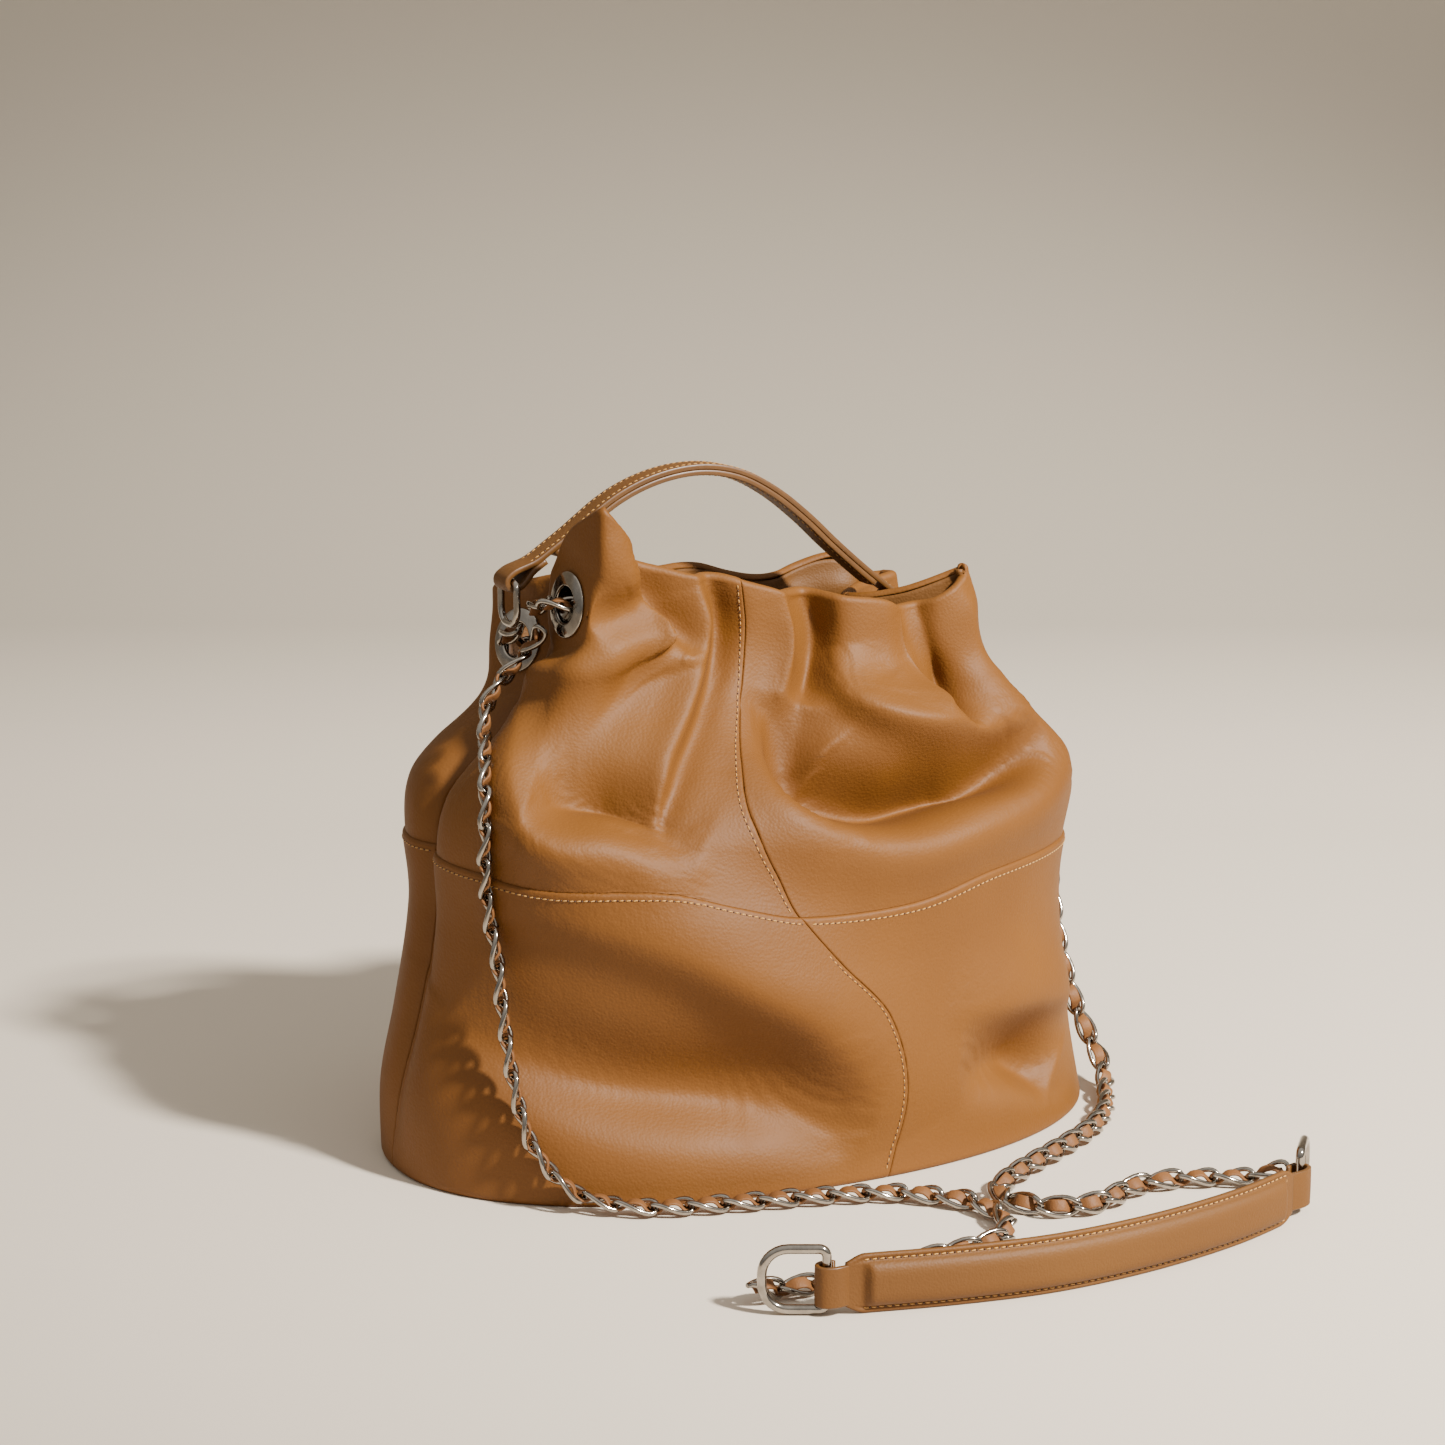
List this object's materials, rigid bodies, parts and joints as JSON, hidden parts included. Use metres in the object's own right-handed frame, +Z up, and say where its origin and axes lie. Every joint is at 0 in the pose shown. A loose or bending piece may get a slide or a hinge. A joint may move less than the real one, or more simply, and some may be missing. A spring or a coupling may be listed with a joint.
{
  "type": "bucket bag",
  "caption": "Soft leather bucket bag with a gathered mouth, a short top handle on rings, and leather-woven chains that pass through eyelets and carry a shoulder pad.",
  "frame": {"origin": "centre of the base, on the surface that the bag stands on", "axes": "+Z up; -Y towards the front of the bag, where the shoulder pad lies; +X towards the bag's right end as seen from the front"},
  "size_m": [0.3081, 0.3169, 0.2677],
  "materials": {
    "wall_leather": "pebbled full-grain leather with a satin sheen",
    "facing_leather": "smooth leather, satin",
    "handle_leather": "pebbled leather with painted edges",
    "pad_leather": "pebbled leather with painted edges",
    "lining_cloth": "matt woven lining",
    "base_stiffener": "matt board",
    "pad_filling": "soft foam sheet",
    "nickel": "polished nickel plate",
    "woven_chain": "polished nickel links woven through with a leather lace"
  },
  "bodies": {
    "bag": {"lower_panel_front_right": "wall_leather", "lower_panel_back_right": "wall_leather", "lower_panel_back_left": "wall_leather", "lower_panel_front_left": "wall_leather", "upper_panel_front_right": "wall_leather", "upper_panel_back_right": "wall_leather", "upper_panel_back_left": "wall_leather", "upper_panel_front_left": "wall_leather", "mouth_facing_front": "facing_leather", "mouth_facing_back": "facing_leather", "lining_front": "lining_cloth", "lining_back": "lining_cloth", "base_panel": "wall_leather", "base_board": "base_stiffener", "lining_base": "lining_cloth", "eyelet_front_right": "nickel", "eyelet_washer_front_right": "nickel", "eyelet_back_right": "nickel", "eyelet_washer_back_right": "nickel", "eyelet_back_left": "nickel", "eyelet_washer_back_left": "nickel", "eyelet_front_left": "nickel", "eyelet_washer_front_left": "nickel", "pad_backing": "pad_leather", "pad_foam": "pad_filling", "pad_face": "pad_leather", "strap_chain_left": "woven_chain", "strap_chain_right": "woven_chain", "drawstring_chain_front": "woven_chain", "drawstring_chain_back": "woven_chain"},
    "top_handle": {"handle_upper_leather": "handle_leather", "handle_under_leather": "handle_leather"},
    "handle_ring_left": {"handle_ring_left": "nickel"},
    "handle_ring_right": {"handle_ring_right": "nickel"},
    "pad_ring_left": {"pad_ring_left": "nickel"},
    "pad_ring_right": {"pad_ring_right": "nickel"}
  },
  "joints": [
    {"name": "top_handle_swing", "type": "hinge", "parent": "bag", "child": "top_handle", "pos_m": [-0.0975, 0, 0.21], "axis": [0.9912, 0, -0.1327], "range_deg": [-10, 5]},
    {"name": "handle_ring_left_swing", "type": "hinge", "parent": "top_handle", "child": "handle_ring_left", "pos_m": [-0.0975, 0, 0.2265], "axis": [0, 1, 0], "range_deg": [-4, 25]},
    {"name": "handle_ring_right_swing", "type": "hinge", "parent": "top_handle", "child": "handle_ring_right", "pos_m": [0.078, 0, 0.203], "axis": [0, 1, 0], "range_deg": [-6, 18]},
    {"name": "pad_ring_left_turn", "type": "hinge", "parent": "bag", "child": "pad_ring_left", "pos_m": [-0.067, -0.203, 0.0128], "axis": [0, 0, 1], "range_deg": [0, 30]},
    {"name": "pad_ring_right_turn", "type": "hinge", "parent": "bag", "child": "pad_ring_right", "pos_m": [0.137, -0.192, 0.0128], "axis": [0, 0, 1], "range_deg": [-25, 20]}
  ]
}
